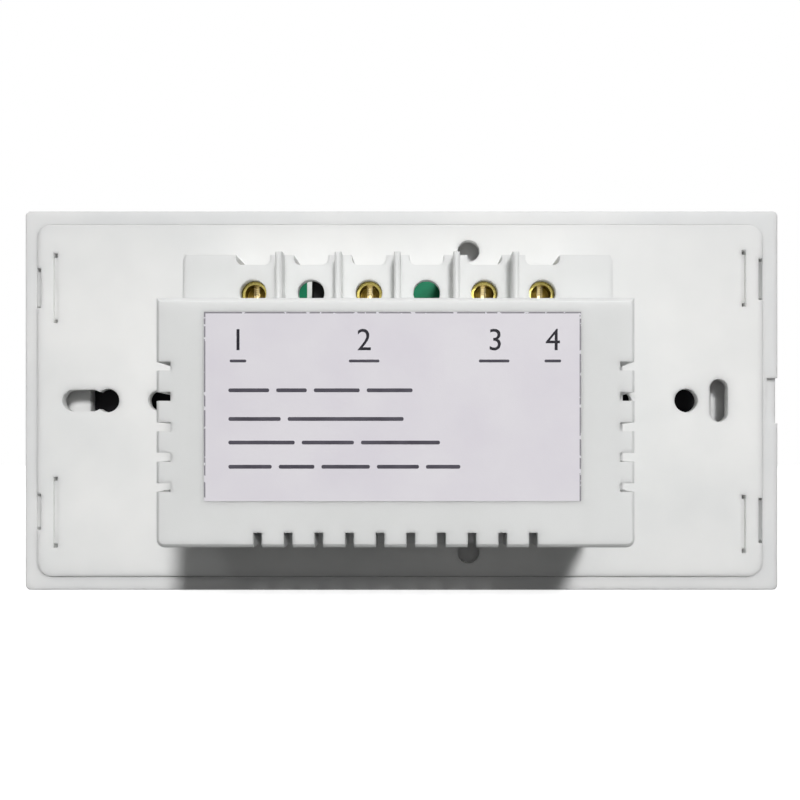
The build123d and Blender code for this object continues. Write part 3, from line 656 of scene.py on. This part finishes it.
for x, z, radius, length in ((-28.5, -7.5, 5.0, 17.0), (-23.0, 4.5, 4.0, 12.0)):
    centre = (x * mm, z * mm)
    r = radius * mm
    top = foot + length * mm
    bung = [(r - 0.9 * mm, 0.3 * mm), (r - 0.5 * mm, 0.0), (r - 0.1 * mm, 0.1 * mm), (r, 0.4 * mm)]
    body = np.array([(0.0, 0.3 * mm)] + bung) + np.array([0.0, foot])
    waist_r = r - crimp_deep * np.sin(dip)
    waist = np.stack([waist_r, foot + crimp_up + crimp_tall * dip / np.pi], axis=1)
    rim_r = r - roll_r + roll_r * np.cos(roll)
    rim = np.stack([rim_r, top - roll_r + roll_r * np.sin(roll)], axis=1)
    lip = np.array([(r - 1.0 * mm, top), (r - fold_in, top - 0.12 * mm), (0.0, top - 0.12 * mm)])
    sleeves.append(turned_round(np.concatenate([body, waist, rim, lip]), centre))

    # The lid swells a little inside its rim, and sinks by the score near the cross.
    dome = np.stack([(r - fold_in) * across, np.full(len(across), top - lid_down)], axis=1)
    under = np.array([(r - fold_in, top - lid_under), (0.0, top - lid_under)])
    lid = turned_round(np.concatenate([dome, under]), centre, 96)
    off = np.minimum(np.abs(lid[..., 0] - centre[0]), np.abs(lid[..., 2] - centre[1]))
    inside = np.append(np.clip((1.0 - across) * dome_slope, 0.0, 1.0), [0.0, 0.0])
    inside = inside[None, :, None]
    lid[..., 1] -= score_deep * np.exp(-((off / score_wide) ** 2)) * inside - dome_high * inside
    tops.append(lid)

    # The stripe is a thin strip of the sleeve's cylinder, sunk into it at both its long edges.
    proud = np.full(len(arc), r + 0.01 * mm)
    proud[[0, -1]] = r - stripe_back
    sunk = np.full(len(arc), r - stripe_back)
    out = np.stack([proud, proud, sunk, sunk])
    low, high = foot + stripe_up, top - stripe_down
    strip = np.zeros((1, 4, len(arc), 3))
    strip[0, :, :, 0] = centre[0] + out * np.cos(arc)
    strip[0, :, :, 2] = centre[1] + out * np.sin(arc)
    strip[0, :, :, 1] = np.array([low, high, high, low])[:, None]
    stripes.append(strip)
sleeves, tops, stripes = (np.concatenate(parts) for parts in (sleeves, tops, stripes))
can_sleeves = grid_piece(
    "capacitor_sleeves", sleeves, sleeve, "base", wrap_v=True
)
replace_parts(smooth(can_sleeves), "capacitors")
smooth(grid_piece("capacitor_lids", tops, can_tin, "base", wrap_v=True))
smooth(grid_piece(
    "capacitor_stripes", stripes, stripe_ink, "base", wrap_u=True
))


# Choke: enamelled copper wound in one layer on the neck of a ferrite drum, which is pressed
# from powder and fired.
ferrite = surface(
    "ferrite", ((44, 44, 47), (60, 60, 62)),
    patch=300.0, grain=3600.0, rough=(0.5, 0.7), bump=0.3,
)
wear("choke_core", ferrite)
copper = surface(
    "choke_copper", ((150, 72, 34), (184, 98, 52)),
    patch=300.0, grain=4600.0, rough=(0.22, 0.32), bump=0.1, metal=1.0,
)
wear("choke_winding", copper)
coil_low, coil_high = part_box("choke_winding")
wire_r = 0.34 * mm
turns = 9
turn_steps = 26
end_sharp = 300.0
coil_x = (coil_low.x + coil_high.x) / 2
coil_z = (coil_low.z + coil_high.z) / 2
coil_r = (coil_high.x - coil_low.x) / 2 - wire_r
along = np.linspace(0.0, 1.0, turns * turn_steps + 1)
wound_to = 2 * np.pi * turns * along
coil_y = coil_low.y + wire_r + along * (coil_high.y - coil_low.y - 2 * wire_r)
round_wire = np.linspace(0.0, 2 * np.pi, 8, endpoint=False)
thick = wire_r * np.clip(np.minimum(along, 1.0 - along) * end_sharp, 0.0, 1.0)[:, None]
coil = np.zeros((1, len(along), len(round_wire), 3))
coil[0, :, :, 0] = coil_x + (coil_r + thick * np.cos(round_wire)) * np.cos(wound_to)[:, None]
coil[0, :, :, 2] = coil_z + (coil_r + thick * np.cos(round_wire)) * np.sin(wound_to)[:, None]
coil[0, :, :, 1] = coil_y[:, None] + thick * np.sin(round_wire)
choke_turns = grid_piece("choke_turns", coil, copper, "base", wrap_v=True)
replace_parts(smooth(choke_turns, 80.0), "choke_winding")


# Transformer: a ferrite core through a black bobbin, with the coil wound on the bobbin
# under polyester tape, a little fuller in the middle.
wear("transformer_core", ferrite)
bobbin_plastic = surface(
    "bobbin_plastic", ((24, 24, 24), (36, 35, 34)),
    patch=200.0, grain=2600.0, rough=(0.4, 0.5), bump=0.1,
)
wear("transformer_bobbin", bobbin_plastic)
tape = surface(
    "winding_tape", ((214, 178, 44), (228, 194, 62)),
    patch=200.0, grain=2600.0, rough=(0.2, 0.3), bump=0.08,
)
wear("transformer_winding", tape)
tape_low, tape_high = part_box("transformer_winding")
tape_x = (tape_low.x + tape_high.x) / 2
tape_z = (tape_low.z + tape_high.z) / 2
tape_long = tape_high.x - tape_low.x
tape_tall = tape_high.z - tape_low.z
fullness = 0.95 + 0.05 * np.sin(np.linspace(0.0, np.pi, 9)) ** 0.5
outer = [rounded_outline(tape_long * f, tape_tall * f, 1.5 * mm) for f in fullness]
inner = [rounded_outline(5.4 * mm, 6.4 * mm, 0.3 * mm)] * 2
layers = np.stack(outer + inner)
heights = np.append(np.linspace(tape_low.y, tape_high.y, 9), [tape_high.y, tape_low.y])
wound = np.zeros((1, len(layers), layers.shape[1], 3))
wound[0, :, :, 0] = tape_x + layers[:, :, 0]
wound[0, :, :, 2] = tape_z + layers[:, :, 1]
wound[0, :, :, 1] = heights[:, None]
taped = grid_piece("transformer_tape", wound, tape, "base", wrap_u=True, wrap_v=True)
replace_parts(smooth(taped), "transformer_winding")


# Varistor: a zinc oxide disc dipped in epoxy, which runs down its two tinned leads a
# little. The disc is flat in the middle and rounds off towards its edge.
varistor_epoxy = surface(
    "varistor_epoxy", ((28, 66, 138), (36, 78, 156)),
    patch=200.0, grain=2600.0, rough=(0.3, 0.45), bump=0.1,
)
wear("varistor", varistor_epoxy)
bead_low, bead_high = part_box("varistor")
bead_r = (bead_high.z - bead_low.z) / 2
bead_t = (bead_high.x - bead_low.x) / 2
bead_x = (bead_low.x + bead_high.x) / 2
bead_y = bead_high.y - bead_r
bead_z = (bead_low.z + bead_high.z) / 2
round_edge = np.linspace(0.0, np.pi, 21)
spin = np.linspace(0.0, 2 * np.pi, 40, endpoint=False)
reach = bead_r * np.abs(np.sin(round_edge)) ** 0.38
reach[[0, -1]] = 0.0
depth = -bead_t * np.sign(np.cos(round_edge)) * np.abs(np.cos(round_edge)) ** 0.75
bead = np.zeros((1, len(round_edge), len(spin), 3))
bead[0, :, :, 0] = bead_x + depth[:, None]
bead[0, :, :, 1] = bead_y + reach[:, None] * np.cos(spin)
bead[0, :, :, 2] = bead_z + reach[:, None] * np.sin(spin)
dipped = grid_piece("varistor_disc", bead, varistor_epoxy, "base", wrap_v=True)
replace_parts(smooth(dipped, 60.0), "varistor")
lead_tin = surface(
    "tinned_lead", ((180, 182, 184), (200, 202, 204)),
    patch=500.0, grain=5200.0, rough=(0.25, 0.4), bump=0.1, metal=1.0,
)
lead_r = 0.32 * mm
lead_aside = 2.5 * mm
lead_bow = 0.35 * mm
lead_top = bead_y - 0.6 * bead_r
drop = np.concatenate([[0.0], np.linspace(0.0, 1.0, 12), [1.0]])[:, None]
girth = np.concatenate([[0.0], np.full(12, lead_r), [0.0]])[:, None]
legs = []
for side in (-1.0, 1.0):
    leg = np.zeros((1, len(drop), len(round_wire), 3))
    leg[0, :, :, 0] = bead_x + side * lead_bow * np.sin(np.pi * drop) + girth * np.cos(round_wire)
    leg[0, :, :, 1] = lead_top - drop * (lead_top - board_high.y)
    leg[0, :, :, 2] = bead_z + side * lead_aside + girth * np.sin(round_wire)
    legs.append(leg)
smooth(grid_piece(
    "varistor_leads", np.concatenate(legs), lead_tin, "base", wrap_v=True
), 60.0)


# Solder joints: small cones of tin round the cut leads under the power board, which stand
# as the solder wave leaves them.
solder = surface(
    "solder_tin", ((170, 172, 174), (196, 198, 200)),
    patch=700.0, grain=5200.0, rough=(0.22, 0.38), bump=0.2, metal=1.0,
)
joint_profile = np.array([
    (0.0, 0.0), (1.0, 0.0), (0.78, -0.14), (0.5, -0.42),
    (0.34, -0.78), (0.3, -1.15), (0.22, -1.28), (0.0, -1.3),
]) * mm + np.array([0.0, board_low.y])
relay_leads = [
    (x, z + dz)
    for z in (-9.4, 3.0)
    for x, dz in ((12.2, -3.6), (12.2, 3.6), (22.0, 0.0), (28.6, -3.6), (28.6, 3.6))
]
coil_leads = [(x, z) for x in (-11.6, -2.4) for z in (-6.0, -1.5, 3.0)]
can_leads = [(-28.5, -9.75), (-28.5, -5.25), (-23.0, 2.75), (-23.0, 6.25)]
choke_leads = [(-20.0, -19.0), (-20.0, -15.4)]
bead_leads = [(-32.4, 5.5), (-32.4, 10.5)]
cage_leads = [
    (x + dx, z) for x in (25.4, 5.08, -15.24, -25.4) for dx in (-2.6, 2.6) for z in (15.6, 20.6)
]
fuse_leads = [(13.04, 15.7), (13.04, 20.5)]
all_leads = relay_leads + coil_leads + can_leads + choke_leads + bead_leads
all_leads += cage_leads + fuse_leads
joints = np.concatenate([turned_round(joint_profile, (x * mm, z * mm), 14) for x, z in all_leads])
smooth(grid_piece("solder_joints", joints, solder, "base", wrap_v=True), 50.0)


# Chip parts: resistors and ceramic capacitors on the touch board and the power board,
# dark bodies between tinned ends, set down by machine and reflowed.
chip_body = surface(
    "chip_body", ((34, 30, 28), (58, 46, 38)),
    patch=900.0, grain=5200.0, rough=(0.35, 0.5), bump=0.1,
)
chip_long, chip_wide, chip_high = 1.3 * mm, 0.8 * mm, 0.5 * mm
chip_lift = 0.02 * mm
cap_long, cap_wide, cap_high = 0.34 * mm, 0.86 * mm, 0.53 * mm
cap_aside = 0.78 * mm
chip_corner, chip_edge = 0.08 * mm, 0.06 * mm
touch_chips = [(x, z) for x in (4.5, 8.5, 16.5, 20.5) for z in (7.0, 11.0)]
touch_chips += [(6.0, -5.0), (10.0, -5.5), (14.0, -5.5), (18.0, -5.0), (24.0, 0.0), (24.0, -4.0)]
touch_chips += [(-4.0, z) for z in (12.0, 8.0, 4.0)] + [(x, -10.5) for x in (-22.0, -18.0, -14.0)]
power_chips = [(x, z) for x in (-1.5, 12.5) for z in (-19.0, -16.5)]
power_chips += [(15.5, -19.0), (2.0, 12.5), (-4.0, 12.5)]
for name, places, face, carrier in (
    ("touch_chips", touch_chips, touch_top, "front_panel"),
    ("power_chips", power_chips, board_high.y, "base"),
):
    spots = [(x * mm, z * mm) for x, z in places]
    bodies = pressed_blocks(
        spots, chip_long, chip_wide, face + chip_lift, face + chip_high, chip_corner, chip_edge
    )
    grid_piece(name, bodies, chip_body, carrier, wrap_v=True)
    ends = [(x + dx, z) for x, z in spots for dx in (-cap_aside, cap_aside)]
    caps = pressed_blocks(ends, cap_long, cap_wide, face, face + cap_high, chip_corner, chip_edge)
    grid_piece(name + "_ends", caps, lead_tin, carrier, wrap_v=True)


# Aerial: a gold-plated track folded to and fro along the top of the radio board, etched
# from the same copper as its other tracks.
def flat_bars(bars, low_y, high_y, corner, edge):
    """Flat bars of metal or ink on a board: each (centre x, centre z, length, height) is a
    rounded block from low_y to high_y."""
    return np.concatenate([
        pressed_blocks([(x, z)], length, height, low_y, high_y, corner, edge)
        for x, z, length, height in bars
    ])


radio_low, radio_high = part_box("radio_board")
folds = 6
fold_pitch = 2.0 * mm
fold_high = 3.2 * mm
track_wide = 0.45 * mm
track_down = 0.9 * mm
track_left = (radio_low.x + radio_high.x) / 2 - folds * fold_pitch / 2
fold_z = radio_high.z - track_down - fold_high
track = [
    (track_left + n * fold_pitch, fold_z + fold_high / 2, track_wide, fold_high)
    for n in range(folds + 1)
]
for n in range(folds):
    turn_x = track_left + (n + 0.5) * fold_pitch
    turn_z = fold_z + (fold_high if n % 2 else 0.0)
    track.append((turn_x, turn_z, fold_pitch + track_wide, track_wide))
aerial = flat_bars(track, radio_high.y, radio_high.y + 0.03 * mm, 0.05 * mm, 0.01 * mm)
grid_piece("radio_aerial", aerial, pin_gold, "front_panel", wrap_v=True)


# Touch marks: two thin rings printed on the black film, one over each light ring.
# They are plain circles and show pale through the glass.
mark_ink = surface(
    "mark_ink", ((196, 198, 200), (212, 214, 216)),
    patch=300.0, grain=4200.0, rough=(0.4, 0.5), bump=0.05,
)
film_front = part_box("back_film")[0].y
rings_low, rings_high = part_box("light_rings")
ring_out = (rings_high.z - rings_low.z) / 2
ring_x = rings_high.x - ring_out
mark_in = 0.86 * ring_out
mark_out = 0.93 * ring_out
mark_thick = 0.01 * mm
turn = np.linspace(0.0, 2 * np.pi, 96, endpoint=False)
section = np.array([
    (mark_in, 0.0), (mark_out, 0.0), (mark_out, -mark_thick), (mark_in, -mark_thick),
])
mark = np.zeros((4, len(turn), 3))
mark[:, :, 0] = section[:, :1] * np.cos(turn)
mark[:, :, 2] = section[:, :1] * np.sin(turn)
mark[:, :, 1] = film_front + section[:, 1:]
marks = np.stack([mark + np.array([x, 0.0, 0.0]) for x in (-ring_x, ring_x)])
grid_piece(
    "touch_marks", marks, mark_ink, "front_panel", wrap_u=True, wrap_v=True
)


# Silk screen on the power board: the white outlines that show where each part goes.
# One of them, beside the fuse, shows through the second screwdriver hole.
silk_ink = surface(
    "silk_ink", ((214, 220, 216), (228, 232, 228)),
    patch=400.0, grain=4200.0, rough=(0.5, 0.65), bump=0.1,
)
silk_wide = 0.2 * mm
silk_gap = 0.5 * mm


def outline_bars(low, high, gap, width):
    """Four bars round a box's footprint, a gap away from it, as (centre x, centre z, length,
    height). The upright ones end just short of the level ones, so that no two overlap."""
    x0, x1, z0, z1 = low.x - gap, high.x + gap, low.z - gap, high.z + gap
    level, upright = x1 - x0 + width, z1 - z0 - 1.2 * width
    return [((x0 + x1) / 2, z, level, width) for z in (z0, z1)] + [
        (x, (z0 + z1) / 2, width, upright) for x in (x0, x1)
    ]


fuse_low, fuse_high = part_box("fuse")
fuse_bar_wide = 1.3 * mm
fuse_bar_tall = board_high.z - fuse_low.z - 0.2 * mm
fuse_bar_x = fuse_high.x + 1.25 * mm
bars = [(fuse_bar_x, (fuse_low.z + board_high.z) / 2, fuse_bar_wide, fuse_bar_tall)]
for node in ("varistor", "bridge_rectifier", "power_chip"):
    bars += outline_bars(*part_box(node), silk_gap, silk_wide)
silk = flat_bars(bars, board_high.y, board_high.y + 0.02 * mm, 0.04 * mm, 0.005 * mm)
grid_piece("board_silk", silk, silk_ink, "base", wrap_v=True)
